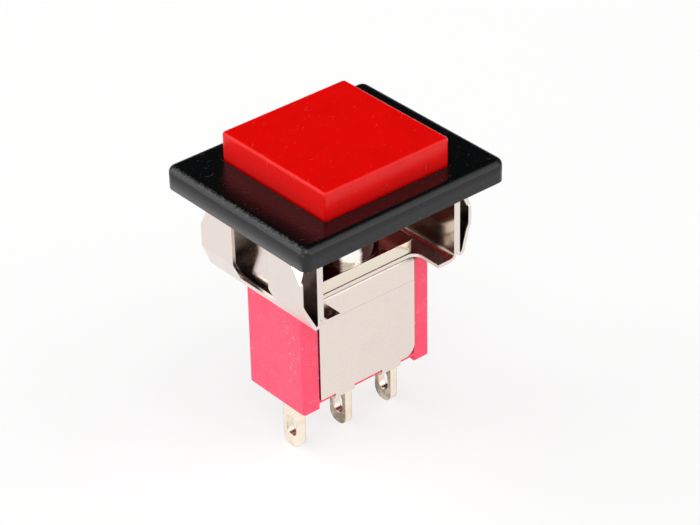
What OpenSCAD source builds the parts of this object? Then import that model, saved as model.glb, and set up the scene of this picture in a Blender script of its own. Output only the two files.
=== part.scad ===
// Panel push button switch: square cap in a rectangular snap-in bezel, stamped spring clip,
// threaded bushing and a momentary two-way miniature switch with three solder lugs.
// Millimetres. X runs along the row of lugs, Z points out of the panel towards the finger.
// The origin is the centre of the panel cut-out, in the plane of the panel's front face.

/* [Bezel] */
// Length of the bezel along the row of lugs
bezel_l = 19.5; // [18.6:0.1:24]
// Width of the bezel
bezel_w = 16.3; // [14.6:0.1:22]
// Thickness of the bezel's rim
bezel_h = 1.9; // [1.6:0.1:3]
// Radius of the bezel's four corners
bezel_corner_r = 0.7; // [0.65:0.05:1.2]
// Radius of the bezel's upper edge
bezel_edge_r = 0.6; // [0.1:0.05:0.65]
// Depth of the slots that hold the clip's walls
slot_depth = 1; // [0.7:0.1:1.2]

/* [Cap] */
// Side of the square cap
cap_side = 12; // [11:0.1:12.2]
// Height that the cap stands above the bezel
cap_proud = 2.3; // [2.1:0.1:4]
// Thickness of the cap's top
cap_top_t = 1.2; // [0.8:0.1:1.4]
// Thickness of the cap's skirt
cap_wall = 0.9; // [0.6:0.05:1.4]
// Radius of the cap's upright corners
cap_corner_r = 0.3; // [0.25:0.05:1]
// Radius of the cap's upper edge
cap_edge_r = 0.22; // [0.1:0.02:0.24]
// Gap between the cap and the bezel all round
cap_gap = 0.15; // [0.1:0.05:0.25]
// Outer diameter of the cap's hub
hub_d = 4.1; // [3.9:0.1:4.2]

/* [Clip] */
// Thickness of the clip's sheet
sheet_t = 0.28; // [0.2:0.02:0.32]
// Distance between the inner faces of the clip's walls
clip_inside = 12.9; // [12.8:0.1:13.6]
// Width of the clip's walls and wings
clip_w = 12.2; // [11.9:0.1:12.6]
// Depth of the clip's plate below the bezel
plate_depth = 6.5; // [6.2:0.1:7.5]
// Distance across the outer faces of the spring tabs
tab_span = 16.8; // [16.2:0.1:17.6]
// Width of each spring tab
tab_w = 3.75; // [3:0.05:3.8]
// Width of the window between two tabs
window_w = 4.2; // [3.6:0.1:4.4]
// Width of the corner folded in at the top of each tab
fold_w = 2.1; // [1.2:0.1:2.6]
// Height of the corner folded in at the top of each tab
fold_h = 2.5; // [1.6:0.1:2.9]
// Slope of the tabs' lower face, from level
tab_slope = 65; // [55:1:70]
// Height of the turn under the +X tabs above the turn under the -X tabs
turn_rise = 0.45; // [0:0.05:0.46]

/* [Bushing] */
// Outer diameter of the bushing's thread
thread_d = 6.35; // [6:0.05:6.6]
// Height of the bushing's rectangular flange
flange_h = 1.1; // [0.8:0.05:1.3]
// Depth of the bushing's top below the bezel
bushing_drop = 0.6; // [0.4:0.1:1]
// Diameter of the counterbore for the return spring
counterbore_d = 4.6; // [4.5:0.05:4.8]

/* [Plunger] */
// Diameter of the plunger's shank
plunger_d = 2.9; // [2.6:0.05:3]
// Radial running clearance of the plunger in the bushing
plunger_fit = 0.05; // [0.02:0.01:0.1]
// Travel of the button
travel = 2; // [1.6:0.1:2]

/* [Switch body] */
// Length of the moulded case
case_l = 12.7; // [12.4:0.1:13.4]
// Width of the moulded case
case_w = 6.6; // [6.4:0.1:7.2]
// Thickness of the case's floor
floor_t = 1.35; // [1.1:0.05:1.8]
// Height of the feet at the case's ends
foot_h = 0.5; // [0.2:0.1:0.8]
// Thickness of the strap's sheet
strap_t = 0.45; // [0.35:0.05:0.5]
// Width of the strap's legs
strap_w = 9.5; // [9:0.1:9.9]
// Radius of the larger lower corner of each leg
leg_corner_r = 1; // [0.6:0.1:1.4]

/* [Terminals] */
// Distance between neighbouring lugs
pitch = 4.7; // [4.6:0.05:4.8]
// Width of a lug
lug_w = 1.9; // [1.7:0.05:2.1]
// Thickness of a lug
lug_t = 0.66; // [0.5:0.02:0.74]
// Length of the lugs below the case's feet
lug_length = 5.2; // [4.6:0.1:6.5]
// Width of the wire hole
wire_hole_w = 1.15; // [0.8:0.05:1.2]
// Length of the wire hole
wire_hole_l = 1.85; // [1.5:0.05:2.2]
// Radius of the lugs' lower corners
lug_corner_r = 0.85; // [0.3:0.05:0.9]

/* [Contacts] */
// Tilt of the rocker from level, each way
rocker_tilt = 5; // [4:0.5:5.5]
// Thickness of the rocker's strip
rocker_t = 0.35; // [0.25:0.05:0.4]
// Diameter of the fixed silver contacts
contact_d = 1.4; // [1.2:0.1:1.5]

/* [Hidden] */

$fn = 64;
cut = 1;            // how far a cutting body runs past what it cuts
seat_gap = 0.03;    // play between pieces that are assembled loosely
slide_gap = 0.05;   // play between pieces that slide or rock on each other
bend_step = 10;     // degrees between the points of a sheet's bend

// stack from the clip's plate down to the strap
plate_top = -plate_depth;
plate_bottom = plate_top - sheet_t;
strap_bottom = plate_bottom - strap_t;
flange_top = plate_top + flange_h;
rim_d = 5;
rim_h = 0.32;
rim_bottom = strap_bottom - rim_h;
rim_room = 0.15;
spigot_d = 4.4;
spigot_hole_d = spigot_d + 2 * slide_gap;

// bezel and clip
opening = cap_side + 2 * cap_gap;
wall_in = clip_inside / 2;
wall_out = wall_in + 2 * sheet_t;
wall_top = slot_depth - seat_gap;
wing_inset = 0.1;
wing_x = strap_w / 2 + wing_inset;
notch_r = 0.8;
wall_bend_in = 0.42;
wall_bend_r = wall_bend_in + sheet_t / 2;
turn_in = 0.1;
turn_r = turn_in + sheet_t / 2;
turn_above_plate = 0.18;
turn_z = plate_bottom + turn_above_plate;
shoulder_r = 0.5;
tab_x = tab_span / 2;
tab_top = -0.25;
tab_end_y = window_w / 2 + tab_w;
tab_taper_h = 1.4;
window_sill = 0.4;
fold_angle = 38;
fold_overlap = 0.02;

// bushing, plunger and cap
flange_past_wing = 0.15;
flange_l = 2 * (wing_x + flange_past_wing);
flange_rim = 0.175;
flange_w = thread_d + 2 * flange_rim;
flange_r = 0.65;
plate_rim = 0.1;
bar_y = flange_w / 2 + plate_rim;
bushing_chamfer = 0.3;
seat_above_flange = 0.7;
spring_seat = flange_top + seat_above_flange;
bushing_top = -bushing_drop;
guide_d = plunger_d + 2 * plunger_fit;
cap_top = bezel_h + cap_proud;
cap_bottom = -0.9;
cap_roof = cap_top - cap_top_t;
hub_bottom = 0.2;
hub_bore_roof = 0.4;
hub_bore_end = cap_roof - hub_bore_roof;
rib_t = 0.8;
rib_above_hub = 1.7;
rib_bottom = hub_bottom + rib_above_hub;
return_wire_d = 0.4;

// case, seen from above
case_r = 0.25;
lip = 0.35;
side_wall = 0.7;
end_wall = 0.9;
recess_y = case_w / 2 - lip;
cavity_l = case_l - 2 * end_wall;
cavity_w = 2 * (recess_y - side_wall);
case_top = strap_bottom - seat_gap;
strap_y = recess_y + seat_gap + strap_t;
strap_bend_out = 0.65;
strap_bend_r = strap_bend_out - strap_t / 2;
leg_small_r = 0.15;
hook_bend_in = 0.15;
hook_bend_r = hook_bend_in + strap_t / 2;
hook_w = 1.9;
hook_in = 1.1;
hook_room = 0.3;

// plunger's lower end and the driver
collar_gap = 0.1;
collar_d = cavity_w - 2 * collar_gap;
collar_h = 0.65;
stop_gap = 0.08;
collar_top = rim_bottom - stop_gap;
plunger_tail = 1.6;
plunger_bottom = collar_top - collar_h - plunger_tail;
socket_d = 1.5;
socket_l = 3.9;
socket_end = plunger_bottom + socket_l;
stem_d = socket_d - 2 * slide_gap;
stem_in_socket = 1;
stem_top = plunger_bottom + stem_in_socket;
overtravel_wire_d = 0.2;
finger_x = 2.3;
finger_r = 0.3;
finger_l = 0.63;
driver_travel = 2 * finger_x * tan(rocker_tilt);
driver_gap = 0.2;
driver_t = 0.6;
driver_top = plunger_bottom - travel + driver_travel - driver_gap;
driver_bottom = driver_top - driver_t;
driver_short = 1.5;
driver_past_finger = 0.7;
driver_long = finger_x + driver_past_finger;
driver_w = cavity_w - 2 * slide_gap;

// rocker: its arms' underside and top lie arm_low and arm_top above its axis when it is level
arm_low = -0.1;
arm_top = arm_low + rocker_t;
arm_w = 2.1;
contact_inset = 0.6;
contact_x = pitch - contact_inset;
arm_past_contact = 0.75;
arm_reach = contact_x + arm_past_contact;
moving_contact_h = 0.3;
moving_contact_rim = 0.05;
moving_contact_d = contact_d - 2 * moving_contact_rim;
contact_dome_r = 2.5;
contact_gap = 0.03;
pivot_r = 0.33;
pivot_z = driver_bottom - finger_l - slide_gap - arm_top / cos(rocker_tilt)
    - finger_x * tan(rocker_tilt);
bias_spring_d = 1.4;
bias_wire_d = 0.2;

// fixed contacts and the heads of the terminals
contact_low = arm_low - moving_contact_h;
fixed_x = contact_x * cos(rocker_tilt) + contact_low * sin(rocker_tilt);
fixed_top = pivot_z - contact_x * sin(rocker_tilt) + contact_low * cos(rocker_tilt) - contact_gap;
fixed_contact_h = 0.27;
pad_rim = 0.05;
pad_top = fixed_top - fixed_contact_h;
pad_t = 0.35;
pad_bottom = pad_top - pad_t;
head_l = 1.2;
head_drop = 0.25;
head_top = pivot_z - head_drop;

// case, from its floor down
floor_top = pad_bottom - seat_gap;
floor_bottom = floor_top - floor_t;
case_bottom = floor_bottom - foot_h;
lip_h = 0.28;
leg_bottom = floor_bottom + lip_h;
seal_margin = 0.57;
seal_l = 2 * (pitch + lug_t / 2 + seal_margin);
seal_w = lug_w + 2 * seal_margin;
seal_h = 0.4;
seal_recess = 0.1;
seal_bottom = floor_bottom + seal_recess;
seal_top = seal_bottom + seal_h;
lug_tip = case_bottom - lug_length;
hole_z = lug_tip + lug_w;

// A rectangle with round corners, centred
module round_square(l, w, r) {
    square([l - 2 * r, w], center = true);
    square([l, w - 2 * r], center = true);
    for (x = [-1, 1], y = [-1, 1]) translate([x * (l / 2 - r), y * (w / 2 - r)]) circle(r = r);
}

// A box with round upright corners, standing on z = 0
module round_plate(l, w, h, r) {
    linear_extrude(height = h) round_square(l, w, r);
}

// The corner between two faces that meet at (r, r), outside a circle of radius r
module corner_outline(r) {
    difference() {
        square([r + cut, r + cut]);
        circle(r = r);
    }
}

// What is cut away to round the upper edge of a round_plate whose top is at z = 0
module edge_cutter(l, w, corner, edge) {
    for (turn = [0:90:270]) {
        reach = (turn % 180 == 0 ? l : w) / 2;
        side = (turn % 180 == 0 ? w : l) / 2 - corner;
        rotate([0, 0, turn]) {
            translate([reach - edge, side, -edge]) rotate([90, 0, 0])
                linear_extrude(height = 2 * side) corner_outline(edge);
            translate([reach - corner, side, -edge]) rotate_extrude(angle = 90)
                translate([corner - edge, 0]) corner_outline(edge);
        }
    }
}

// Points and headings along the middle of a sheet that starts at the point at, where each step
// is [straight length, turn to the left, radius]
function sheet_middle(steps, at, heading, i = 0) =
    i == len(steps) ? [[at, heading]] :
    let (turn = steps[i][1], r = steps[i][2], side = turn < 0 ? -1 : 1,
         bend_start = at + steps[i][0] * [cos(heading), sin(heading)],
         centre = bend_start + side * r * [-sin(heading), cos(heading)],
         count = ceil(abs(turn) / bend_step),
         arc = [for (k = [0:count - 1]) let (a = heading + turn * k / count)
             [centre + side * r * [sin(a), -cos(a)], a]],
         bend_end = centre + side * r * [sin(heading + turn), -cos(heading + turn)])
    concat([[at, heading]], arc, sheet_middle(steps, bend_end, heading + turn, i + 1));

// The points of such a middle line, moved sideways to the left
function beside(middle, offset) =
    [for (m = middle) m[0] + offset * [-sin(m[1]), cos(m[1])]];

// A list from its last entry to its first
function reversed(list) = [for (k = [len(list) - 1:-1:0]) list[k]];

// Height of the wire's middle along a coil whose first and last turns are closed
function coil_rise(i, steps, last, closed, lift) =
    i < steps ? closed * i / steps :
    i > last - steps ? lift - closed * (last - i) / steps :
    closed + (lift - 2 * closed) * (i - steps) / (last - 2 * steps);

// A round wire wound about Z between z0 and z1
module coil(outer_d, wire_d, z0, z1, turns) {
    steps = 16;
    sides = 6;
    last = turns * steps;
    r = (outer_d - wire_d) / 2;
    lift = z1 - z0 - wire_d;
    points = [for (i = [0:last], k = [0:sides - 1])
        let (a = 360 * i / steps, b = 360 * k / sides, q = r + wire_d / 2 * cos(b))
        [q * cos(a), q * sin(a),
         z0 + wire_d / 2 * (1 + sin(b)) + coil_rise(i, steps, last, 1.1 * wire_d, lift)]];
    skin = [for (i = [0:last - 1], k = [0:sides - 1])
        let (n = (k + 1) % sides)
        [i * sides + k, i * sides + n, (i + 1) * sides + n, (i + 1) * sides + k]];
    start_cap = [[for (k = [0:sides - 1]) sides - 1 - k]];
    end_cap = [[for (k = [0:sides - 1]) last * sides + k]];
    polyhedron(points = points, faces = concat(skin, start_cap, end_cap), convexity = 8);
}

// Bezel: rim with a square opening for the cap and two slots for the clip's doubled walls
module bezel() {
    slot_l = wall_out - wall_in + 2 * seat_gap;
    slot_w = clip_w + 2 * seat_gap;
    color([0.06, 0.06, 0.07]) difference() {
        round_plate(bezel_l, bezel_w, bezel_h, bezel_corner_r);
        translate([0, 0, bezel_h]) edge_cutter(bezel_l, bezel_w, bezel_corner_r, bezel_edge_r);
        translate([0, 0, -cut]) round_plate(opening, opening, bezel_h + 2 * cut, cap_corner_r);
        for (side = [-1, 1])
            translate([side * (wall_in + wall_out) / 2 - slot_l / 2, -slot_w / 2, -cut])
                cube([slot_l, slot_w, slot_depth + cut]);
    }
}

// Cap: square shell, ribs and the hub that grips the plunger, in one moulding
module cap() {
    inside = cap_side - 2 * cap_wall;
    color([0.86, 0.06, 0.04]) difference() {
        translate([0, 0, cap_bottom])
            round_plate(cap_side, cap_side, cap_top - cap_bottom, cap_corner_r);
        translate([0, 0, cap_top]) edge_cutter(cap_side, cap_side, cap_corner_r, cap_edge_r);
        difference() {
            translate([-inside / 2, -inside / 2, cap_bottom - cut])
                cube([inside, inside, cap_roof - cap_bottom + cut]);
            translate([0, 0, hub_bottom]) cylinder(d = hub_d, h = cap_roof);
            for (turn = [0, 90]) rotate([0, 0, turn])
                translate([-inside, -rib_t / 2, rib_bottom]) cube([2 * inside, rib_t, cap_roof]);
        }
        translate([0, 0, hub_bottom - cut]) cylinder(d = plunger_d, h = hub_bore_end - hub_bottom + cut);
    }
}

// Plunger: turned pin with a collar that stops it under the bushing, hollow at its lower end
module plunger() {
    color([0.72, 0.6, 0.32]) rotate_extrude() difference() {
        union() {
            translate([0, plunger_bottom]) square([plunger_d / 2, hub_bore_end - plunger_bottom]);
            translate([0, collar_top - collar_h]) square([collar_d / 2, collar_h]);
        }
        translate([0, plunger_bottom - cut]) square([socket_d / 2, socket_end - plunger_bottom + cut]);
    }
}

// Return spring: stands in the bushing's counterbore and lifts the hub
module return_spring() {
    color([0.75, 0.76, 0.78]) coil(hub_d, return_wire_d, spring_seat, hub_bottom, 6);
}

// One end of the clip on edge: wing, doubled wall with a round hem, V-turn and spring tab
module clip_end_outline(rise) {
    t = sheet_t;
    plate_z = plate_top - t / 2;
    crotch_z = plate_z + wall_bend_r;
    slope_x = wall_out + turn_r - t / 2 + turn_r * sin(tab_slope);
    slope_z = turn_z + rise - turn_r * cos(tab_slope);
    slope = (tab_x - t / 2 - slope_x - shoulder_r * (1 - sin(tab_slope))) / cos(tab_slope);
    shoulder_z = slope_z + slope * sin(tab_slope) + shoulder_r * cos(tab_slope);
    wing = sheet_middle([[wall_in + t / 2 - wall_bend_r, 90, wall_bend_r]], [0, plate_z], 0);
    hem = [for (a = [180 - bend_step:-bend_step:bend_step])
        [wall_in + t, wall_top - t] + t * [cos(a), sin(a)]];
    tab = sheet_middle([
        [crotch_z - turn_z - rise, 90 + tab_slope, turn_r],
        [slope, 90 - tab_slope, shoulder_r]], [wall_out - t / 2, crotch_z], -90);
    polygon(concat(
        beside(wing, t / 2), [[wall_in, wall_top - t]], hem, [[wall_out, wall_top - t]],
        beside(tab, t / 2), [[tab_x - t, tab_top], [tab_x, tab_top]],
        reversed(beside(tab, -t / 2)), [for (k = [len(wing) - 2:-1:0]) beside(wing, -t / 2)[k]]));
}

// What lies beyond the fold line of a tab's top corner, out to the distance far
module beyond_fold(far) {
    corner = [tab_end_y, tab_top];
    along = [-fold_w, fold_h];
    start = corner - [0, fold_h];
    rotate([90, 0, 90]) linear_extrude(height = 3 * sheet_t)
        polygon([start - far * along, corner + far * [fold_h, fold_w], start + (1 + far) * along]);
}

// A tab's top corner, folded inwards about the fold line on its outer face
module folded_corner() {
    fold_at = [tab_x, tab_end_y, tab_top - fold_h] - fold_overlap * [1, 1, 1];
    translate(fold_at) rotate(a = fold_angle, v = [0, -fold_w, fold_h])
        rotate([90, 0, 90]) translate([0, 0, -sheet_t]) linear_extrude(height = sheet_t)
            polygon([[0, 0], [0, fold_h], [-fold_w, fold_h]]);
}

// What is cut off the end of a tab: the tab tapers from the wall's width at its turn
module tab_end_cutter(turn_at) {
    translate([wall_out + turn_in / 2, 0, 0]) rotate([90, 0, 90]) linear_extrude(height = tab_x)
        polygon([[clip_w / 2, turn_at], [tab_end_y, turn_at + tab_taper_h], [tab_end_y, tab_top + cut],
                 [clip_w, tab_top + cut], [clip_w, turn_at]]);
}

// The clip's end at +X, its turn raised by rise; the plate's notches aren't cut yet
module clip_end(rise) {
    difference() {
        translate([0, clip_w / 2, 0]) rotate([90, 0, 0]) linear_extrude(height = clip_w)
            clip_end_outline(rise);
        for (side = [0, 1]) mirror([0, side, 0]) {
            tab_end_cutter(turn_z + rise);
            translate([tab_x - 2 * sheet_t, 0, 0]) beyond_fold(0.5);
        }
        translate([wall_out + turn_in / 2, -window_w / 2, turn_z + rise + window_sill])
            cube([tab_x, window_w, tab_top - turn_z + cut]);
    }
    for (side = [0, 1]) mirror([0, side, 0]) folded_corner();
}

// Snap clip: one stamped sheet, with a plate between two ends
module snap_clip() {
    color([0.78, 0.74, 0.72]) difference() {
        union() {
            clip_end(turn_rise);
            mirror([1, 0, 0]) clip_end(0);
        }
        for (side = [-1, 1])
            translate([0, side * (bar_y + clip_w / 2), plate_bottom - cut])
                round_plate(2 * wing_x, clip_w, sheet_t + 2 * cut, notch_r);
        translate([0, 0, plate_bottom - cut]) cylinder(d = spigot_hole_d, h = sheet_t + 2 * cut);
    }
}

// Bushing: threaded barrel on a rectangular flange, and the spigot that is staked under the strap
module bushing() {
    color([0.84, 0.8, 0.76]) difference() {
        union() {
            translate([0, 0, plate_top]) round_plate(flange_l, flange_w, flange_h, flange_r);
            rotate_extrude() polygon([
                [0, plate_top], [0, bushing_top], [thread_d / 2 - bushing_chamfer, bushing_top],
                [thread_d / 2, bushing_top - bushing_chamfer], [thread_d / 2, plate_top]]);
            translate([0, 0, rim_bottom]) cylinder(d = spigot_d, h = flange_top - rim_bottom);
            translate([0, 0, rim_bottom]) cylinder(d = rim_d, h = rim_h);
        }
        translate([0, 0, rim_bottom - cut]) cylinder(d = guide_d, h = bushing_top - rim_bottom + 2 * cut);
        translate([0, 0, spring_seat]) cylinder(d = counterbore_d, h = bushing_top - spring_seat + cut);
    }
}

// A strip of the strap, of width w about x: half the top, a leg down to z and perhaps a hook
module strap_strip(x, w, z, hook) {
    t = strap_t;
    top = [strap_y - t / 2 - strap_bend_r, -90, strap_bend_r];
    down = plate_bottom - t / 2 - strap_bend_r - z;
    steps = hook ? [top, [down - hook_bend_r, -90, hook_bend_r], [hook_in - t / 2 - hook_bend_r, 0, 1]]
        : [top, [down, 0, 1]];
    middle = sheet_middle(steps, [0, plate_bottom - t / 2], 0);
    for (side = [0, 1]) mirror([0, side, 0]) translate([x - w / 2, 0, 0]) rotate([90, 0, 90])
        linear_extrude(height = w)
            polygon(concat(beside(middle, t / 2), reversed(beside(middle, -t / 2))));
}

// What rounds a leg's lower corner at x = strap_w / 2
module leg_corner_cutter(r) {
    translate([strap_w / 2 - r, strap_y + cut, leg_bottom + r]) rotate([90, 0, 0])
        linear_extrude(height = 2 * (strap_y + cut)) mirror([0, 1]) corner_outline(r);
}

// Strap: top plate, two legs and four tabs folded under the case
module frame_strap() {
    hook_z = floor_bottom - seat_gap - strap_t / 2;
    color([0.86, 0.82, 0.78]) difference() {
        union() {
            difference() {
                strap_strip(0, strap_w, leg_bottom, false);
                leg_corner_cutter(leg_corner_r);
                mirror([1, 0, 0]) leg_corner_cutter(leg_small_r);
            }
            for (side = [-1, 1]) strap_strip(side * pitch / 2, hook_w, hook_z, true);
        }
        translate([0, 0, strap_bottom - cut]) cylinder(d = spigot_hole_d, h = strap_t + 2 * cut);
    }
}

// Case: moulded box, open at the top, recessed behind the strap's legs, with feet at its ends
module case() {
    leg_l = strap_w + 4 * seat_gap;
    hook_l = hook_w + 4 * seat_gap;
    color([1, 0.45, 0.52]) difference() {
        translate([0, 0, case_bottom]) round_plate(case_l, case_w, case_top - case_bottom, case_r);
        for (side = [0, 1]) mirror([0, side, 0]) {
            translate([-leg_l / 2, recess_y, leg_bottom - seat_gap])
                cube([leg_l, case_w, case_top - leg_bottom + cut]);
            for (x = [-pitch / 2, pitch / 2]) {
                translate([x - hook_l / 2, recess_y, floor_bottom - cut])
                    cube([hook_l, case_w, leg_bottom - floor_bottom + 2 * cut]);
                translate([x - hook_l / 2, recess_y - hook_bend_in, floor_bottom - cut])
                    cube([hook_l, case_w, cut + hook_room]);
            }
        }
        translate([-leg_l / 2, -case_w, case_bottom - cut]) cube([leg_l, 2 * case_w, foot_h + cut]);
        translate([-cavity_l / 2, -cavity_w / 2, floor_top])
            cube([cavity_l, cavity_w, case_top - floor_top + cut]);
        translate([0, 0, rim_bottom - rim_room])
            cylinder(d = rim_d + 2 * rim_room, h = case_top - rim_bottom + rim_room + cut);
        translate([-seal_l / 2, -seal_w / 2, case_bottom - cut])
            cube([seal_l, seal_w, seal_top - case_bottom + cut]);
        for (x = [-pitch, 0, pitch]) lug_slot(x);
    }
}

// The slot in the case's floor for the lug at x
module lug_slot(x) {
    l = lug_t + 2 * seat_gap;
    w = lug_w + 2 * seat_gap;
    translate([x - l / 2, -w / 2, floor_bottom]) cube([l, w, floor_t + cut / 2]);
}

// A lug with a wire hole and round lower corners, up to the height top
module lug(x, top) {
    r = min(lug_corner_r, 0.48 * lug_w);
    straight = wire_hole_l - wire_hole_w;
    translate([x - lug_t / 2, 0, 0]) rotate([90, 0, 90]) linear_extrude(height = lug_t) difference() {
        union() {
            translate([-lug_w / 2, lug_tip + r]) square([lug_w, top - lug_tip - r]);
            translate([r - lug_w / 2, lug_tip]) square([lug_w - 2 * r, 2 * r]);
            for (side = [-1, 1]) translate([side * (lug_w / 2 - r), lug_tip + r]) circle(r = r);
        }
        translate([-wire_hole_w / 2, hole_z - straight / 2]) square([wire_hole_w, straight]);
        for (end = [-1, 1]) translate([0, hole_z + end * straight / 2]) circle(d = wire_hole_w);
    }
}

// Outer terminal on the +X side: a lug and the pad that carries its contact
module outer_terminal() {
    pad_x = fixed_x - contact_d / 2 - pad_rim;
    color([0.82, 0.8, 0.75]) {
        lug(pitch, pad_top);
        translate([pad_x, -lug_w / 2, pad_bottom]) cube([pitch + lug_t / 2 - pad_x, lug_w, pad_t]);
    }
}

// Terminal of the contact that is closed at rest
module terminal_closed() {
    mirror([1, 0, 0]) outer_terminal();
}

// Terminal of the contact that is open at rest
module terminal_open() {
    outer_terminal();
}

// Common terminal: a lug, and a head with a groove in which the rocker rocks
module terminal_common() {
    head_w = arm_w + 4 * slide_gap;
    color([0.82, 0.8, 0.75]) difference() {
        union() {
            lug(0, pad_top);
            translate([-head_l / 2, -head_w / 2, pad_bottom]) cube([head_l, head_w, head_top - pad_bottom]);
        }
        translate([0, head_w, pivot_z]) rotate([90, 0, 0])
            cylinder(r = pivot_r + slide_gap, h = 2 * head_w);
    }
}

// Fixed contact on the +X pad
module fixed_contact() {
    color([0.9, 0.9, 0.88]) translate([fixed_x, 0, pad_top]) cylinder(d = contact_d, h = fixed_contact_h);
}

// Fixed contact that is closed at rest
module contact_closed() {
    mirror([1, 0, 0]) fixed_contact();
}

// Fixed contact that is open at rest
module contact_open() {
    fixed_contact();
}

// Turns what is drawn level about the rocker's axis into its place at rest
module at_rest_tilt() {
    translate([0, 0, pivot_z]) rotate([0, -rocker_tilt, 0]) children();
}

// Rocker: flat strip with a round rib on its axis
module rocker() {
    color([0.85, 0.68, 0.35]) at_rest_tilt() {
        translate([-arm_reach, -arm_w / 2, arm_low]) cube([2 * arm_reach, arm_w, rocker_t]);
        translate([0, arm_w / 2, 0]) rotate([90, 0, 0]) cylinder(r = pivot_r, h = arm_w);
    }
}

// A domed contact under the rocker's arm at x
module moving_contact(x) {
    color([0.9, 0.9, 0.88]) at_rest_tilt() translate([x, 0, contact_low]) intersection() {
        cylinder(d = moving_contact_d, h = moving_contact_h);
        translate([0, 0, contact_dome_r]) sphere(r = contact_dome_r);
    }
}

// The rocker's contact on the side that is closed at rest
module rocker_contact_closed() {
    moving_contact(-contact_x);
}

// The rocker's contact on the side that is open at rest
module rocker_contact_open() {
    moving_contact(contact_x);
}

// Driver: crossbar guided by the cavity's walls, stem in the plunger's socket, rounded finger
module driver() {
    finger_w = arm_w + 4 * slide_gap;
    tip = driver_bottom - finger_l;
    color([0.9, 0.9, 0.85]) {
        translate([-driver_short, -driver_w / 2, driver_bottom])
            cube([driver_short + driver_long, driver_w, driver_t]);
        translate([0, 0, driver_bottom]) cylinder(d = stem_d, h = stem_top - driver_bottom);
        translate([finger_x, finger_w / 2, 0]) rotate([90, 0, 0]) linear_extrude(height = finger_w) {
            translate([-finger_r, tip + finger_r]) square([2 * finger_r, finger_l - finger_r + driver_t / 2]);
            translate([0, tip + finger_r]) circle(r = finger_r);
        }
    }
}

// Overtravel spring: in the plunger's socket, on the driver's stem
module overtravel_spring() {
    color([0.75, 0.76, 0.78]) coil(stem_d, overtravel_wire_d, stem_top, socket_end, 6);
}

// Bias spring: holds the rocker's arm up at rest
module bias_spring() {
    arm_z = pivot_z + (finger_x - bias_spring_d / 2) * tan(rocker_tilt) + arm_low / cos(rocker_tilt);
    color([0.75, 0.76, 0.78]) translate([finger_x, 0, 0])
        coil(bias_spring_d, bias_wire_d, floor_top, arm_z - seat_gap, 4);
}

// Terminal seal: cast round the lugs in the recess under the floor
module terminal_seal() {
    color([0.25, 0.16, 0.12]) difference() {
        translate([-seal_l / 2, -seal_w / 2, seal_bottom]) cube([seal_l, seal_w, seal_top - seal_bottom]);
        for (x = [-pitch, 0, pitch])
            translate([x - lug_t / 2, -lug_w / 2, seal_bottom - cut])
                cube([lug_t, lug_w, seal_top - seal_bottom + 2 * cut]);
    }
}

bezel();
cap();
plunger();
return_spring();
snap_clip();
bushing();
frame_strap();
case();
terminal_closed();
terminal_common();
terminal_open();
contact_closed();
contact_open();
rocker();
rocker_contact_closed();
rocker_contact_open();
driver();
overtravel_spring();
bias_spring();
terminal_seal();
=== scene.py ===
"""Looks of a square panel push button switch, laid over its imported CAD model.

The CAD nodes keep their shapes and take procedural finishes here.  The threaded bushing and
the three coil springs are built anew with their fine detail, and stand for their CAD nodes.
"""

import logging
import math
from abc import ABC, abstractmethod
from dataclasses import dataclass, field
from enum import Enum
from typing import Any, Mapping, Optional, Sequence, Union

import bmesh
import bpy
from mathutils import Euler, Matrix, Vector


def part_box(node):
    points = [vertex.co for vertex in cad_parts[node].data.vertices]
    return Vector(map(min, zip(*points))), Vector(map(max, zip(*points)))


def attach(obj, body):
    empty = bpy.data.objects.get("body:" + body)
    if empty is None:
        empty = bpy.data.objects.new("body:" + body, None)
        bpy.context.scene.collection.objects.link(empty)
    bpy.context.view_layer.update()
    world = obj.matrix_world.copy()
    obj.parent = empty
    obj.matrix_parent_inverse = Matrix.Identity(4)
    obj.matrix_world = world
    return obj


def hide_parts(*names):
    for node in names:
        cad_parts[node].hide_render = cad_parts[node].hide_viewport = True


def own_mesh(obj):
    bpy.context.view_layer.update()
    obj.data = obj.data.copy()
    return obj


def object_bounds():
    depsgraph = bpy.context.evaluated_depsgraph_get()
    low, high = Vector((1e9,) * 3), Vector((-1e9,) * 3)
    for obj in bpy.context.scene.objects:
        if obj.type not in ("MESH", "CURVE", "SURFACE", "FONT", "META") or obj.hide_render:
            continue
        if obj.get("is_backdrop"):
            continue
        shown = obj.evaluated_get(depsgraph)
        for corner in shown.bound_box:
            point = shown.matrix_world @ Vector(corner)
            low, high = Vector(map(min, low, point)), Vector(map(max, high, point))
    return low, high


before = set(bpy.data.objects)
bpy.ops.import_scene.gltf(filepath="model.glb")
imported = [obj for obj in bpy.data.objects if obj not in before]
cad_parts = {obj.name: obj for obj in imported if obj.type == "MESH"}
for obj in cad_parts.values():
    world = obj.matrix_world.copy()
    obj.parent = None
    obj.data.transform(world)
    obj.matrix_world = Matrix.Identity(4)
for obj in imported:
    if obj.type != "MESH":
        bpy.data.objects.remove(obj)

Triple = tuple[float, float, float]
Colour = tuple[float, float, float]
Band = tuple[float, float]

MM = 0.001
LOG = logging.getLogger("push_button_switch")

ZERO: Triple = (0.0, 0.0, 0.0)
UP: Triple = (0.0, 0.0, 1.0)
LEVEL: Triple = (1.0, 1.0, 0.0)


# ---------------------------------------------------------------- shader maths


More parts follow.
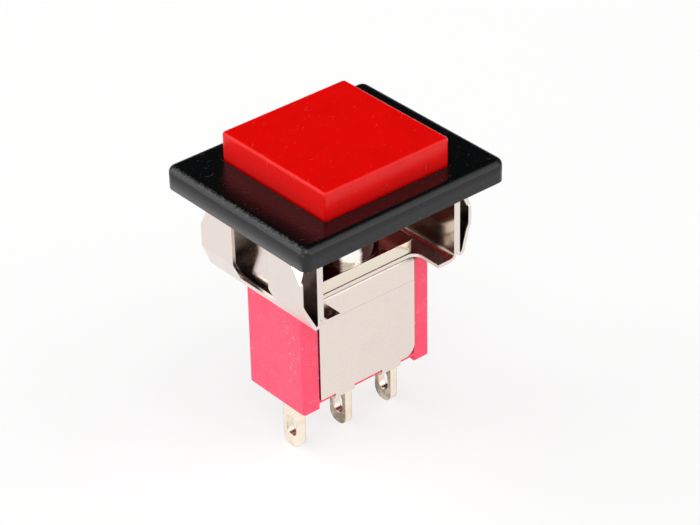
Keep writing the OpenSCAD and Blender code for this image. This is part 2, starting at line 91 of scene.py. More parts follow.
class Val:
    """A shader value: one output socket, with the operators that add its Math nodes."""

    def __init__(self, book: "ShaderBook", socket: bpy.types.NodeSocket) -> None:
        """Wrap a socket.

        Args:
            book: The node book that the socket belongs to.
            socket: The output socket.
        """
        self.book = book
        self.socket = socket

    def __add__(self, other: "Number") -> "Val":
        """Sum of two values."""
        return self.book.maths("ADD", self, other)

    def __radd__(self, other: "Number") -> "Val":
        """Sum with a plain number in front."""
        return self.book.maths("ADD", other, self)

    def __sub__(self, other: "Number") -> "Val":
        """Difference of two values."""
        return self.book.maths("SUBTRACT", self, other)

    def __rsub__(self, other: "Number") -> "Val":
        """Difference with a plain number in front."""
        return self.book.maths("SUBTRACT", other, self)

    def __mul__(self, other: "Number") -> "Val":
        """Product of two values."""
        return self.book.maths("MULTIPLY", self, other)

    def __rmul__(self, other: "Number") -> "Val":
        """Product with a plain number in front."""
        return self.book.maths("MULTIPLY", other, self)

    def top(self, other: "Number") -> "Val":
        """Larger of two values."""
        return self.book.maths("MAXIMUM", self, other)

    def between(self, low: float, high: float) -> "Val":
        """Smooth rise from 0 to 1 between two bounds.

        Args:
            low: Value at which the result leaves 0.
            high: Value at which the result reaches 1.

        Returns:
            The eased value, kept within 0 and 1.
        """
        sockets = {"Value": self, "From Min": low, "From Max": high}
        return self.book.node("ShaderNodeMapRange", {"interpolation_type": "SMOOTHSTEP"}, sockets)


Number = Union[Val, float]


class ShaderBook:
    """Adds nodes to one node tree and hands back their first outputs as values."""

    NOISE_ROUGHNESS = 0.55
    SHIFT_WAY: Triple = (1.0, 0.7, 1.3)
    BEVEL_SAMPLES = 4
    RECESS_SAMPLES = 6
    EDGE_TURN: Band = (0.01, 0.12)  # turn of the softened normal, as 1 - cosine
    SCRATCH_LEVEL = 0.74  # noise over this level is a scratch where the share is 0
    SCRATCH_GAIN = 0.10
    SCRATCH_EDGE = 0.05
    SCRATCH_SHIFT = 5.0
    SCRATCH_STEP = 3.1
    PATCH_SHIFT = 57.0
    PATCH_STEP = 13.0
    PATCH_BAND: Band = (0.54, 0.62)

    def __init__(self, tree: bpy.types.NodeTree) -> None:
        """Start from an empty tree.

        Args:
            tree: Node tree of a material or of the world.
        """
        tree.nodes.clear()
        self.tree = tree

    def feed(self, socket: bpy.types.NodeSocket, value: Any) -> None:
        """Link a value to a socket, or set the socket to it.

        Args:
            socket: Input socket.
            value: A Val to link, or what the socket's default becomes.
        """
        if isinstance(value, Val):
            self.tree.links.new(value.socket, socket)
        elif isinstance(value, tuple) and socket.type == "RGBA":
            socket.default_value = (*value, 1.0)
        else:
            socket.default_value = value

    def node(self, kind: str, settings: Mapping[str, Any], sockets: Mapping[Any, Any],
             output: Union[int, str] = 0) -> Val:
        """Add one node.

        Args:
            kind: Blender's type name of the node.
            settings: Properties of the node, set before its sockets.
            sockets: Values or links, by the socket's name, number or identifier.
            output: Name or number of the output to hand back.

        Returns:
            The chosen output.
        """
        made = self.tree.nodes.new(kind)
        for name, value in settings.items():
            setattr(made, name, value)
        by_identifier = {socket.identifier: socket for socket in made.inputs}
        for key, value in sockets.items():
            socket = by_identifier[key] if key in by_identifier else made.inputs[key]
            self.feed(socket, value)
        return Val(self, made.outputs[output])

    def maths(self, operation: str, first: Number, second: Number) -> Val:
        """Add a Math node.

        Args:
            operation: Blender's name of the operation.
            first: First value.
            second: Second value.

        Returns:
            The result.
        """
        return self.node("ShaderNodeMath", {"operation": operation}, {0: first, 1: second})

    def vector(self, operation: str, first: Any, second: Any, output: str = "Vector") -> Val:
        """Add a Vector Math node.

        Args:
            operation: Blender's name of the operation.
            first: First vector.
            second: Second vector.
            output: Name of the output, Value for a dot product or a length.

        Returns:
            The result.
        """
        return self.node("ShaderNodeVectorMath", {"operation": operation},
                         {0: first, 1: second}, output)

    def tint(self, share: Number, first: Any, second: Any) -> Val:
        """Mix two colours.

        Args:
            share: 0 for the first colour, 1 for the second.
            first: First colour.
            second: Second colour.

        Returns:
            The mixed colour.
        """
        sockets = {"Factor_Float": share, "A_Color": first, "B_Color": second}
        return self.node("ShaderNodeMix", {"data_type": "RGBA"}, sockets, 2)

    def dot(self, first: Any, second: Any) -> Val:
        """Dot product of two vectors."""
        return self.vector("DOT_PRODUCT", first, second, "Value")

    def place(self) -> Val:
        """Position on the part in millimetres, in the part's own frame."""
        own = self.node("ShaderNodeTexCoord", {}, {}, "Object")
        return self.vector("MULTIPLY", own, (1 / MM, 1 / MM, 1 / MM))

    def facing(self) -> Val:
        """Direction that the bare surface faces."""
        return self.node("ShaderNodeNewGeometry", {}, {}, "Normal")

    def grain(self, place: Val, size: Triple, turn: Triple = ZERO,
              detail: float = 3.0, start: float = 0.0) -> Val:
        """Cloudy noise, stretched along the turned axes.

        Args:
            place: Position in millimetres.
            size: Length of a speckle along each turned axis, in millimetres.
            turn: Angles of the axes in degrees.
            detail: Octaves of the noise.
            start: Shift of the pattern in millimetres, to keep two patterns apart.

        Returns:
            A value about 0.5.
        """
        sockets = {"Vector": place, "Location": tuple(way * start for way in self.SHIFT_WAY),
                   "Rotation": Euler([math.radians(angle) for angle in turn]), "Scale": size}
        turned = self.node("ShaderNodeMapping", {"vector_type": "TEXTURE"}, sockets)
        return self.node("ShaderNodeTexNoise", {}, {
            "Vector": turned, "Scale": 1.0, "Detail": detail, "Roughness": self.NOISE_ROUGHNESS})

    def hairlines(self, place: Val, turns: Sequence[Triple], length: float, width: float,
                  share: float, patch: float = 0.0) -> Val:
        """Fine scratches that lie in a few directions.

        Args:
            place: Position in millimetres.
            turns: Angles of each family of scratches in degrees.
            length: Length of a scratch in millimetres.
            width: Width of a scratch in millimetres.
            share: 0 for hardly any scratches, 1 for many.
            patch: Size in millimetres of the patches that hold one direction each, or 0 for
                scratches all over.

        Returns:
            1 in a scratch, 0 beside it.
        """
        low = self.SCRATCH_LEVEL - self.SCRATCH_GAIN * share
        lines = None
        for number, turn in enumerate(turns):
            size = (length, width, 4 * width)
            streak = self.grain(place, size, turn, 1.0,
                                self.SCRATCH_SHIFT + self.SCRATCH_STEP * number)
            streak = streak.between(low, low + self.SCRATCH_EDGE)
            if patch:
                spread = self.grain(place, (patch,) * 3, detail=1.0,
                                    start=self.PATCH_SHIFT + self.PATCH_STEP * number)
                streak = streak * spread.between(*self.PATCH_BAND)
            lines = streak if lines is None else lines.top(streak)
        return lines

    def rounded(self, radius: float) -> tuple[Val, Val]:
        """Normal with softened edges, and where those edges are.

        Args:
            radius: Radius of the softened edge in millimetres.

        Returns:
            The normal, and a mask that is 1 on the edges.
        """
        soft = self.node("ShaderNodeBevel", {"samples": self.BEVEL_SAMPLES},
                         {"Radius": radius * MM})
        turn = 1.0 - self.dot(soft, self.facing())
        return soft, turn.between(*self.EDGE_TURN)

    def recess(self, reach: float, low: float, high: float) -> Val:
        """Where the surface lies deep between other surfaces.

        Args:
            reach: How far off a neighbour still counts, in millimetres.
            low: Covered share at which the mask leaves 0.
            high: Covered share at which the mask reaches 1.

        Returns:
            1 in deep recesses, 0 in the open.
        """
        open_share = self.node("ShaderNodeAmbientOcclusion", {"samples": self.RECESS_SAMPLES},
                               {"Distance": reach * MM}, "AO")
        return (1.0 - open_share).between(low, high)

    def relief(self, height: Val, normal: Val) -> Val:
        """Bump from a height in millimetres.

        Args:
            height: Height over the surface in millimetres.
            normal: Normal that the bump starts from.

        Returns:
            The new normal.
        """
        return self.node("ShaderNodeBump", {}, {"Height": height, "Normal": normal,
                                                "Strength": 1.0, "Distance": MM})


# ---------------------------------------------------------------- finishes


def shade(colour: Colour, share: float) -> Colour:
    """Darker colour of the same hue.

    Args:
        colour: The colour.
        share: Share of it that is left.

    Returns:
        The darker colour.
    """
    return tuple(share * part for part in colour)


@dataclass(frozen=True)
class Pattern:
    """Cloudy noise with its speckle size, turn, octaves, shift and, for a mask, its band."""

    size: Triple
    turn: Triple = ZERO
    detail: float = 3.0
    shift: float = 0.0
    band: Optional[Band] = None

    def on(self, book: ShaderBook, place: Val) -> Val:
        """Lay the pattern.

        Args:
            book: Node book of the material.
            place: Position in millimetres.

        Returns:
            A value about 0.5, or a mask from 0 to 1 where the pattern has a band.
        """
        grain = book.grain(place, self.size, self.turn, self.detail, self.shift)
        return grain.between(*self.band) if self.band else grain


PLASTIC_CLOUDS = Pattern((2.6, 2.6, 2.6))
FLOW_MARKS = Pattern((6.0, 2.2, 3.0), (20.0, 35.0, 10.0), 2.0, 11.0)
SCUFFS = Pattern((0.9, 0.5, 0.7), (10.0, 0.0, 50.0), 4.0, 23.0, (0.66, 0.78))
RUBBED_EDGES = Pattern((0.6, 0.6, 0.6), detail=4.0, shift=31.0, band=(0.42, 0.72))
# Noise that breaks up the painted highlight on the bezel's rim.
RIM_HIGHLIGHT_BREAKS = Pattern((0.20, 0.20, 0.20), detail=4.0, shift=71.0, band=(0.40, 0.66))
METAL_CLOUDS = Pattern((1.5, 1.1, 1.3), (15.0, 25.0, 5.0), 4.0, 17.0)
STAIN_SPOTS = Pattern((0.25, 0.25, 0.25), detail=3.0, shift=41.0, band=(0.68, 0.76))

PLASTIC_SCRATCHES = ((0.0, 0.0, 24.0), (0.0, 0.0, -37.0), (0.0, -48.0, -75.0),
                     (70.0, 20.0, 75.0))
METAL_SCRATCHES = ((0.0, 0.0, 31.0), (90.0, 20.0, 0.0), (0.0, 75.0, -18.0))


class Lay(Enum):
    """Direction in which a metal's tool or rolling lines run."""

    ALONG_X = (0.0, 0.0, 0.0)
    ALONG_Y = (0.0, 0.0, 90.0)
    ALONG_Z = (0.0, 90.0, 0.0)
    ROUND = None


@dataclass
class Skin:
    """What a finish has laid on so far.

    The place and the height are in millimetres.  The clouds and the lines, which are flow
    marks on plastic and tool lines on metal, are values about 0.5.
    """

    book: ShaderBook
    place: Val
    clouds: Val
    lines: Val
    colour: Val
    height: Val


class Finish(ABC):
    """A surface finish that becomes one material."""

    name: str

    @abstractmethod
    def surface(self, book: ShaderBook) -> Mapping[str, Any]:
        """Add the finish's nodes and return the values of the Principled shader's sockets."""

    def trim(self, skin: Skin) -> None:
        """Change the colour and height of a skin where a finish has something of its own."""

    def material(self) -> bpy.types.Material:
        """Build the finish's material.

        Returns:
            The new material.
        """
        made = bpy.data.materials.new(self.name)
        made.use_nodes = True
        book = ShaderBook(made.node_tree)
        shader = book.node("ShaderNodeBsdfPrincipled", {}, self.surface(book))
        output = made.node_tree.nodes.new("ShaderNodeOutputMaterial")
        book.feed(output.inputs["Surface"], shader)
        return made


@dataclass(frozen=True)
class Moulding(Finish):
    """Moulded plastic: mottled colour, fine grain, hairline scratches, worn edges and painted
    shade near the foot.

    Sizes and heights are in millimetres, and tints, worn edges and the painted foot shade are
    shares from 0 to 1.
    """

    name: str
    colour: Colour
    deep: Colour
    worn: Colour
    roughness: float
    scratches: float = 0.4
    scratch_length: float = 1.1
    scratch_width: float = 0.055
    scratch_depth: float = 0.003
    scratch_patch: float = 1.7
    scratch_tint: float = 0.25
    scratch_tint_gain: float = 0.5
    scratch_roughness: float = 0.18
    grain_size: float = 0.10
    grain_height: float = 0.0015
    waviness: float = 0.004
    flow_gain: float = 4.0
    mottling: float = 0.8
    cloud_band: Band = (0.35, 0.75)
    cloud_roughness: float = 0.06
    scuff_tint: float = 0.06
    scuff_roughness: float = 0.10
    edge: float = 0.08
    edge_wear: float = 0.10
    edge_roughness: float = 0.10
    # Painted shade near the foot, where neighbours crowd the surface.
    foot_painted_shade: float = 0.0
    foot_reach: float = 1.5
    foot_band: Band = (0.10, 0.50)
    foot_shade: float = 0.35
    ior: float = 1.49

    def surface(self, book: ShaderBook) -> Mapping[str, Any]:
        """Add the plastic's nodes.

        Args:
            book: Node book of the material.

        Returns:
            Values of the Principled shader's sockets.
        """
        place = book.place()
        clouds = PLASTIC_CLOUDS.on(book, place)
        flow = FLOW_MARKS.on(book, place)
        pores = book.grain(place, (self.grain_size,) * 3, detail=2.0, start=4.0)
        scratch = book.hairlines(place, PLASTIC_SCRATCHES, self.scratch_length,
                                 self.scratch_width, self.scratches, self.scratch_patch)
        scuffs = SCUFFS.on(book, place)
        normal, edges = book.rounded(self.edge)
        rubbed = edges * RUBBED_EDGES.on(book, place)
        mottled = book.tint(clouds.between(*self.cloud_band) * self.mottling, self.colour,
                            self.deep)
        paleness = self.scratch_tint + self.scratch_tint_gain * self.scratches
        marked = book.tint(scratch * paleness, mottled, self.worn)
        colour = book.tint(rubbed * self.edge_wear + scuffs * self.scuff_tint, marked, self.worn)
        rough = (self.roughness + (clouds - 0.5) * self.cloud_roughness
                 + scratch * self.scratch_roughness + scuffs * self.scuff_roughness
                 + rubbed * self.edge_roughness)
        height = (pores * self.grain_height + flow * self.waviness * self.flow_gain
                  - scratch * self.scratch_depth + clouds * self.waviness)
        # Painted shade: darkens the colour where the surface lies deep among neighbours, as at a
        # foot.
        if self.foot_painted_shade:
            film = book.recess(self.foot_reach, *self.foot_band) * self.foot_painted_shade
            colour = book.tint(film, colour, shade(self.deep, self.foot_shade))
        skin = Skin(book, place, clouds, flow, colour, height)
        self.trim(skin)
        return {"Base Color": skin.colour, "Roughness": rough, "IOR": self.ior,
                "Normal": book.relief(skin.height, normal)}


@dataclass(frozen=True)
class RimMoulding(Moulding):
    """Moulding of a rim with a painted highlight along one rounding, broken up as if rubbed, a
    painted reflection that makes one side lighter towards its bottom, and a crown.
    """

    # Painted highlight on one top rounding, with a small ridge under it.
    lit_rounding: Triple = (-0.60, 0.0, 0.80)
    lit_rounding_band: Band = (0.90, 0.98)
    rim_painted_highlight: float = 0.25
    rim_ridge: float = 0.006
    # Painted reflection on one side, lighter towards its bottom: facing, heights and strength.
    lit_side: Triple = (-1.0, 0.0, 0.0)
    lit_side_band: Band = (0.85, 0.95)
    side_light_heights: Band = (0.05, 0.85)
    side_light_floor: float = 0.6  # share of the painted reflection where the clouds are thinnest
    side_light_gain: float = 0.6
    side_painted_light: float = 0.42
    crown: float = 0.24
    crown_heights: Band = (0.85, 2.05)

    def trim(self, skin: Skin) -> None:
        """Add the painted highlight on the rounding, the painted reflection on the side and the
        crown.

        Args:
            skin: Skin to change.
        """
        book, facing = skin.book, skin.book.facing()
        # Painted highlight: lighter, ragged colour along the rounding that faces the given way.
        ragged = RIM_HIGHLIGHT_BREAKS.on(book, skin.place)
        rim_light = book.dot(facing, self.lit_rounding).between(*self.lit_rounding_band) * ragged
        colour = book.tint(rim_light * self.rim_painted_highlight, skin.colour, self.worn)
        level = book.dot(skin.place, UP)
        # Painted reflection: the side that faces the given way grows lighter towards its bottom.
        side = book.dot(facing, self.lit_side).between(*self.lit_side_band)
        low = 1.0 - level.between(*self.side_light_heights)
        side_light = side * low * (self.side_light_floor + self.side_light_gain * skin.clouds) * self.side_painted_light
        skin.colour = book.tint(side_light, colour, self.worn)
        crowned = level.between(*self.crown_heights) * self.crown
        skin.height = skin.height + rim_light * self.rim_ridge - crowned


@dataclass(frozen=True)
class Metal(Finish):
    """Bare or plated metal: rolling or turning lines, hairlines, stains, soft edges and painted
    shade in recesses.

    Sizes and heights are in millimetres, and stains and painted shades are shares from 0 to 1.
    """

    name: str
    colour: Colour
    stain: Colour
    roughness: float
    lay: Lay = Lay.ALONG_X
    line_width: float = 0.03
    line_stretch: float = 160.0  # length of a line in line widths
    line_height: float = 0.0006
    line_roughness: float = 0.08
    ripple_size: float = 1.6
    ripple_height: float = 0.006
    scratches: float = 0.4
    scratch_length: float = 2.4
    scratch_width: float = 0.022
    scratch_depth: float = 0.0015
    scratch_roughness: float = 0.12
    stained: float = 0.35
    stain_band: Band = (0.45, 0.80)
    stain_roughness: float = 0.12
    spot_share: float = 0.5
    spot_roughness: float = 0.2
    edge: float = 0.05
    edge_roughness: float = 0.04
    # Painted shade in recesses: strength, reach, covered shares and share of the stain colour
    # left.
    painted_recess_shade: float = 0.0
    recess_shade_reach: float = 6.0
    recess_shade_band: Band = (0.35, 0.90)
    recess_shade_share: float = 0.30

    def lines(self, book: ShaderBook, place: Val) -> Val:
        """Rolling lines along the lay, or rings about the Z axis.

        Args:
            book: Node book of the material.
            place: Position in millimetres.

        Returns:
            A value about 0.5 that changes across the lines.
        """
        if self.lay is Lay.ROUND:
            across = book.vector("MULTIPLY", place, LEVEL)
            radius = book.vector("LENGTH", across, ZERO, "Value")
            rings = book.node("ShaderNodeCombineXYZ", {}, {"X": radius, "Y": book.dot(place, UP)})
            return book.grain(rings, (self.line_width,) * 3, detail=2.0)
        size = (self.line_stretch * self.line_width, self.line_width, self.line_width)
        return book.grain(place, size, self.lay.value, 2.0)

    def surface(self, book: ShaderBook) -> Mapping[str, Any]:
        """Add the metal's nodes.

        Args:
            book: Node book of the material.

        Returns:
            Values of the Principled shader's sockets.
        """
        place = book.place()
        lines = self.lines(book, place)
        ripple = book.grain(place, (self.ripple_size,) * 3, detail=2.0, start=9.0)
        clouds = METAL_CLOUDS.on(book, place)
        scratch = book.hairlines(place, METAL_SCRATCHES, self.scratch_length, self.scratch_width,
                                 self.scratches)
        spots = STAIN_SPOTS.on(book, place)
        normal, edges = book.rounded(self.edge)
        stains = clouds.between(*self.stain_band) * self.stained
        colour = book.tint(stains.top(spots * self.spot_share * self.stained), self.colour,
                           self.stain)
        # Painted shade: darkens the colour where the surface lies deep between other surfaces.
        if self.painted_recess_shade:
            film = book.recess(self.recess_shade_reach, *self.recess_shade_band) * self.painted_recess_shade
            colour = book.tint(film, colour, shade(self.stain, self.recess_shade_share))
        rough = (self.roughness + (lines - 0.5) * self.line_roughness
                 + stains * self.stain_roughness + scratch * self.scratch_roughness
                 + spots * self.stained * self.spot_roughness + edges * self.edge_roughness)
        height = (lines * self.line_height + ripple * self.ripple_height
                  - scratch * self.scratch_depth)
        skin = Skin(book, place, clouds, lines, colour, height)
        self.trim(skin)
        return {"Base Color": skin.colour, "Metallic": 1.0, "Roughness": rough,
                "Normal": book.relief(skin.height, normal)}


@dataclass(frozen=True)
class PaintedStreakMetal(Metal):
    """Turned metal with a painted dark reflection all over, but for a painted highlight streak on
    four sides.
    """

    # Colour and strength of the painted dark reflection, and the way and band of the painted
    # highlight streak.
    painted_dark_reflection: Colour = (0.040, 0.003, 0.002)
    painted_dark_share: float = 0.98
    streak: Triple = (-0.347, -0.938, 0.0)
    streak_band: Band = (0.66, 0.88)
    unevenness: float = 0.28

    def trim(self, skin: Skin) -> None:
        """Paint the dark reflection and the highlight streak.

        Args:
            skin: Skin to change.
        """
        book = skin.book
        level = book.vector("NORMALIZE", book.vector("MULTIPLY", book.facing(), LEVEL), ZERO)
        across = book.dot(level, self.streak)
        double = 2.0 * across * across - 1.0
        ragged = double * double + (skin.lines - 0.5) * self.unevenness
        # Painted reflection: dark everywhere but where the level facing lies near the streak's
        # way, ragged by the turning lines.
        film = (1.0 - ragged.between(*self.streak_band)) * self.painted_dark_share
        skin.colour = book.tint(film, skin.colour, self.painted_dark_reflection)


@dataclass(frozen=True)
class CreasedMetal(Metal):
    """Rolled metal with a faint level crease across its faces, darkened by painted shade."""

    crease_height: float = -9.0
    crease_reach: float = 0.07
    crease_flat: float = 0.01
    crease_depth: float = 0.010
    crease_wander: float = 0.12
    crease_painted_shade: float = 0.30
    crease_shade: float = 0.60

    def trim(self, skin: Skin) -> None:
        """Add the crease, with painted shade along it.

        Args:
            skin: Skin to change.
        """
        book = skin.book
        level = book.dot(skin.place, UP) + (skin.clouds - 0.5) * self.crease_wander
        below = level.between(self.crease_height - self.crease_reach,
                              self.crease_height - self.crease_flat)
        above = level.between(self.crease_height + self.crease_flat,
                              self.crease_height + self.crease_reach)
        fold = below - above
        # Painted shade: darker colour along the crease.
        skin.colour = book.tint(fold * self.crease_painted_shade, skin.colour,
                                shade(self.stain, self.crease_shade))
        skin.height = skin.height - fold * self.crease_depth


@dataclass(frozen=True)
class ShadedFaceMetal(Metal):
    """Plated metal with painted shade on its two broad faces, square to the X axis."""

    face_painted_shade: float = 0.85
    broad_band: Band = (0.20, 0.65)
    face_shade_floor: float = 0.45  # share of the painted shade where the clouds are thinnest
    face_shade_band: Band = (0.30, 0.60)
    face_shade_share: float = 0.22

    def trim(self, skin: Skin) -> None:
        """Add the painted shade on the broad faces.

        Args:
            skin: Skin to change.
        """
        book = skin.book
        across = book.dot(book.facing(), (1.0, 0.0, 0.0))
        broad = (across * across).between(*self.broad_band)
        uneven = self.face_shade_floor + skin.clouds.between(*self.face_shade_band) * (1 - self.face_shade_floor)
        # Painted shade: darkens the broad faces, unevenly.
        film = broad * uneven * self.face_painted_shade
        skin.colour = book.tint(film, skin.colour, shade(self.stain, self.face_shade_share))


# Black bezel: its worn grey also colours the painted highlight on the left top rounding and the
# painted reflection low on the left side.
BLACK_GLOSS = RimMoulding("black_gloss_moulding", (0.0010, 0.0018, 0.0020),
                          (0.0008, 0.0012, 0.0014), (0.20, 0.19, 0.19), 0.25, scratches=0.16,
                          waviness=0.002, grain_size=0.22, grain_height=0.012, ior=1.47)
# Red cap: painted shade darkens its sides towards the foot, next to the bezel.
RED_GLOSS = Moulding("red_gloss_moulding", (0.77, 0.0016, 0.0007), (0.70, 0.0012, 0.0005),
                     (0.92, 0.12, 0.10), 0.25, scratches=0.12, waviness=0.003, edge=0.20,
                     foot_painted_shade=0.34, ior=1.37)
PINK_CASE = Moulding("pink_red_moulding", (0.97, 0.060, 0.140), (0.93, 0.052, 0.124),
                     (1.0, 0.48, 0.53), 0.40, scratches=0.75, grain_size=0.07)
NATURAL_DRIVER = Moulding("ivory_moulding", (0.72, 0.66, 0.54), (0.66, 0.59, 0.46),
                          (0.80, 0.76, 0.66), 0.48, scratches=0.2)
DARK_SEAL = Moulding("cast_brown_resin", (0.070, 0.036, 0.022), (0.040, 0.020, 0.014),
                     (0.16, 0.10, 0.07), 0.26, scratches=0.15, waviness=0.03, grain_size=0.2)
# Clip: painted shade darkens it in its pockets and between its walls.
BRIGHT_NICKEL = Metal("bright_nickel_strip", (0.82, 0.735, 0.685), (0.74, 0.65, 0.59), 0.15,
                      Lay.ALONG_Y, ripple_size=3.2, ripple_height=0.006, scratches=0.25,
                      stained=0.25, line_height=0.0003, painted_recess_shade=0.75)
# Bushing flange and bore: painted shade in recesses.
TURNED_NICKEL = Metal("turned_nickel", (0.84, 0.75, 0.64), (0.66, 0.56, 0.44), 0.10,
                      Lay.ROUND, line_width=0.05, ripple_height=0.002, stained=0.2, painted_recess_shade=0.75)
# Barrel: painted dark reflection all round, but for a painted highlight streak.
BARREL_PAINTED_STREAK = PaintedStreakMetal("turned_barrel_painted_streak", (0.98, 0.95, 0.90), (0.86, 0.77, 0.64), 0.10,
                           Lay.ROUND, line_width=0.45, line_height=0.006, ripple_height=0.0,
                           stained=0.15)
# Strap: painted shade under the clip's plate, strongest at the bend, and along the crease.
SATIN_NICKEL = CreasedMetal("satin_nickel_strap", (0.83, 0.735, 0.675), (0.76, 0.66, 0.595),
                            0.26, Lay.ALONG_X, ripple_size=3.5, ripple_height=0.010,
                            scratches=0.45, stained=0.2, painted_recess_shade=1.0, recess_shade_reach=1.2,
                            recess_shade_band=(0.05, 0.60))
# Closed lug: a little painted shade in recesses.
TINNED_COPPER = Metal("tinned_lug", (1.0, 0.89, 0.75), (0.80, 0.60, 0.38), 0.20,
                      Lay.ALONG_Z, ripple_size=0.7, ripple_height=0.012, stained=0.5,
                      edge=0.16, painted_recess_shade=0.08, recess_shade_reach=1.6)
# Common and open lugs: painted shade on the broad faces, and a little in recesses.
TIN_SHADED_FACES = ShadedFaceMetal("tinned_lug_shaded_faces", (0.97, 0.86, 0.73), (0.76, 0.58, 0.38), 0.20,
                     Lay.ALONG_Z, ripple_size=0.7, ripple_height=0.012, stained=0.5,
                     edge=0.16, painted_recess_shade=0.35, recess_shade_reach=1.6)
TURNED_BRASS = Metal("turned_brass", (0.84, 0.60, 0.27), (0.56, 0.36, 0.14), 0.22,
                     Lay.ROUND, line_width=0.04, ripple_height=0.002)
FINE_SILVER = Metal("fine_silver", (0.93, 0.91, 0.87), (0.50, 0.42, 0.34), 0.24,
                    Lay.ROUND, line_width=0.03, ripple_height=0.003, stained=0.5)
SPRING_STEEL = Metal("drawn_spring_wire", (0.70, 0.70, 0.71), (0.40, 0.37, 0.34), 0.26,
                     Lay.ROUND, line_width=0.02, ripple_height=0.001, stained=0.3)


class Wardrobe:
    """Makes each finish's material once and puts it on pieces."""

    def __init__(self) -> None:
        """Start with no material made."""
        self.made: dict[str, bpy.types.Material] = {}

    def of(self, finish: Finish) -> bpy.types.Material:
        """Material of a finish, made at the first call.

        Args:
            finish: The finish.

        Returns:
            Its material.
        """
        if finish.name not in self.made:
            self.made[finish.name] = finish.material()
        return self.made[finish.name]

    def dress_node(self, name: str, finish: Finish) -> None:
        """Give a CAD node its finish.

        Args:
            name: Name of the node.
            finish: The finish.
        """
        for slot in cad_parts[name].material_slots:
            slot.material = self.of(finish)
        LOG.info("node %s wears %s", name, finish.name)

    def dress_piece(self, piece: bpy.types.Object, finishes: Sequence[Finish],
                    body: str) -> None:
        """Give a new piece its finishes and its body.

        Args:
            piece: The piece.
            finishes: The finishes, in the order of the mesh's material numbers.
            body: CAD body that the piece moves with.
        """
        for finish in finishes:
            piece.data.materials.append(self.of(finish))
        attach(piece, body)
        LOG.info("piece %s: %d faces", piece.name, len(piece.data.polygons))


# ---------------------------------------------------------------- mesh building


class Mould:
    """Gathers vertices and faces in millimetres and turns them into an object."""

    WELD = 0.0004  # points closer than this, in millimetres, become one

    def __init__(self, name: str) -> None:
        """Start an empty mesh.

        Args:
            name: Name of the object.
        """
        self.name = name
        self.mesh = bmesh.new()

    def rows(self, rows: Sequence[Sequence[Triple]], coat: int = 0) -> list[list[Any]]:
        """Skin a stack of closed rows of points.

        Args:
            rows: Rows of equal length, in millimetres.
            coat: Number of the material that the faces take.

        Returns:
            The vertices, row by row.
        """
        grid = [[self.mesh.verts.new(Vector(point) * MM) for point in row] for row in rows]
        count = len(grid[0])
        for lower, upper in zip(grid, grid[1:]):
            for k in range(count):
                n = (k + 1) % count
                self.mesh.faces.new((lower[k], lower[n], upper[n], upper[k])).material_index = coat
        return grid

    def cast(self, angle: float = 35.0) -> bpy.types.Object:
        """Finish the mesh and link its object.

        Args:
            angle: Edges sharper than this, in degrees, stay sharp.

        Returns:
            The new object.
        """
        bmesh.ops.remove_doubles(self.mesh, verts=self.mesh.verts, dist=self.WELD * MM)
        bmesh.ops.recalc_face_normals(self.mesh, faces=self.mesh.faces)
        for face in self.mesh.faces:
            face.smooth = True
        for edge in self.mesh.edges:
            if len(edge.link_faces) == 2 and edge.calc_face_angle(0.0) > math.radians(angle):
                edge.smooth = False
        data = bpy.data.meshes.new(self.name)
        self.mesh.to_mesh(data)
        self.mesh.free()
        made = bpy.data.objects.new(self.name, data)
        bpy.context.scene.collection.objects.link(made)
        return made


# ---------------------------------------------------------------- sub-assemblies


